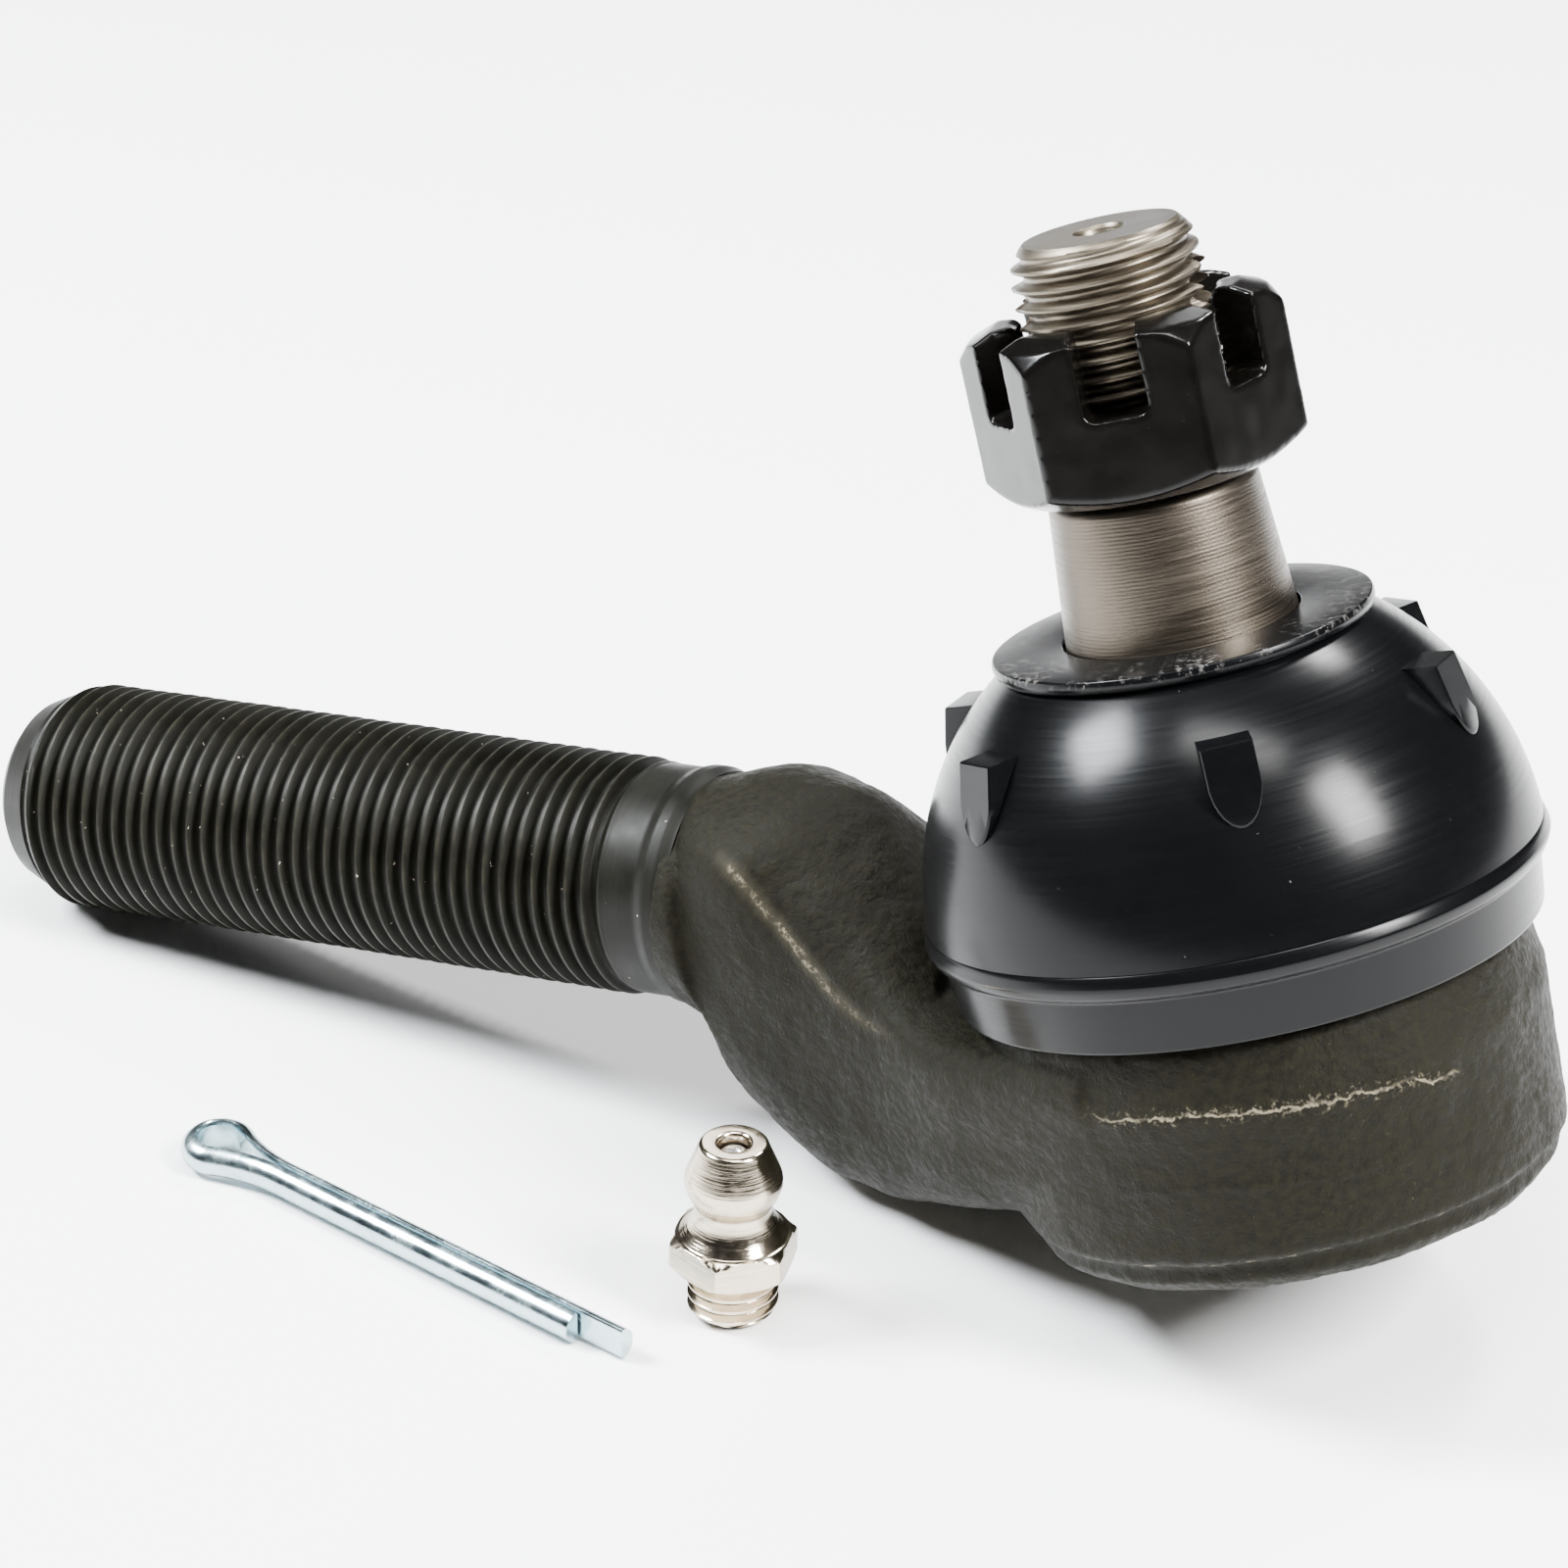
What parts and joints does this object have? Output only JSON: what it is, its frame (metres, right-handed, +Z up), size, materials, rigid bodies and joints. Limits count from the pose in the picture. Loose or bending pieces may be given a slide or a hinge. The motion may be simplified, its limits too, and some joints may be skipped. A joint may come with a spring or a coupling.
{
  "type": "tie rod end",
  "caption": "Steering tie rod end: forged socket and threaded shank, ball stud with castle nut under a rubber boot, with its loose cotter pin and grease fitting.",
  "frame": {"origin": "on the floor, below the centre of the whole set's box", "axes": "+Z up from the floor it lies on; +X from the threaded shank's free end towards the socket; the stud leans back towards -X and a little to +Y"},
  "size_m": [0.1262, 0.056, 0.0742],
  "materials": {
    "forged_steel": "dark oxide scale, matt",
    "machined_steel": "bare turned steel",
    "black_steel": "glossy black oxide",
    "rubber": "glossy moulded rubber",
    "sintered_steel": "oiled satin",
    "spring_steel": "oiled satin",
    "bearing": "satin",
    "zinc": "bright blue-white zinc plate",
    "nickel": "bright nickel plate"
  },
  "bodies": {
    "socket": {"housing": "forged_steel", "cover_plate": "forged_steel", "disc_spring": "spring_steel", "boot": "rubber", "boot_clamp_ring": "spring_steel"},
    "pressure_seat": {"pressure_seat": "sintered_steel"},
    "bearing_shells": {"upper_shell": "bearing", "lower_shell": "bearing"},
    "boot_top": {"boot_top_ring": "spring_steel"},
    "stud": {"ball_stud": "machined_steel"},
    "nut": {"castle_nut": "black_steel"},
    "cotter_pin": {"cotter_pin": "zinc"},
    "grease_fitting": {"grease_fitting": "nickel", "check_spring": "spring_steel"},
    "check_ball": {"check_ball": "nickel"}
  },
  "joints": [
    {"name": "swing_fore_aft", "type": "hinge", "parent": "socket", "child": "bearing_shells", "pos_m": [0.04057, 0.006, 0.02384], "axis": [0, 0.9954, -0.0958], "range_deg": [-18, 18], "deforming": ["boot"]},
    {"name": "swing_sideways", "type": "hinge", "parent": "bearing_shells", "child": "boot_top", "pos_m": [0.04057, 0.006, 0.02384], "axis": [0.9466, 0.0309, 0.3208], "range_deg": [-18, 18], "deforming": ["boot"]},
    {"name": "stud_spin", "type": "hinge", "parent": "boot_top", "child": "stud", "pos_m": [0.04057, 0.006, 0.02384], "axis": [-0.3223, 0.0907, 0.9423], "continuous": true},
    {"name": "nut_off", "type": "slide", "parent": "stud", "child": "nut", "axis": [-0.3223, 0.0907, 0.9423], "range_m": [0, 0.03]},
    {"name": "seat_travel", "type": "slide", "parent": "socket", "child": "pressure_seat", "axis": [-0.3223, 0.0907, 0.9423], "range_m": [-0.0004, 0], "stiffness_N_per_m": 300000, "springref_m": 0.0006, "deforming": ["disc_spring"]},
    {"name": "cotter_pin_lift", "type": "slide", "parent": "socket", "child": "cotter_pin", "axis": [0, 0, 1], "range_m": [0, 0.05]},
    {"name": "grease_fitting_lift", "type": "slide", "parent": "socket", "child": "grease_fitting", "axis": [0, 0, 1], "range_m": [0, 0.05]},
    {"name": "check_ball_travel", "type": "slide", "parent": "grease_fitting", "child": "check_ball", "axis": [0, 0, 1], "range_m": [-0.0006, 0], "stiffness_N_per_m": 400, "springref_m": 0.001, "deforming": ["check_spring"]}
  ]
}
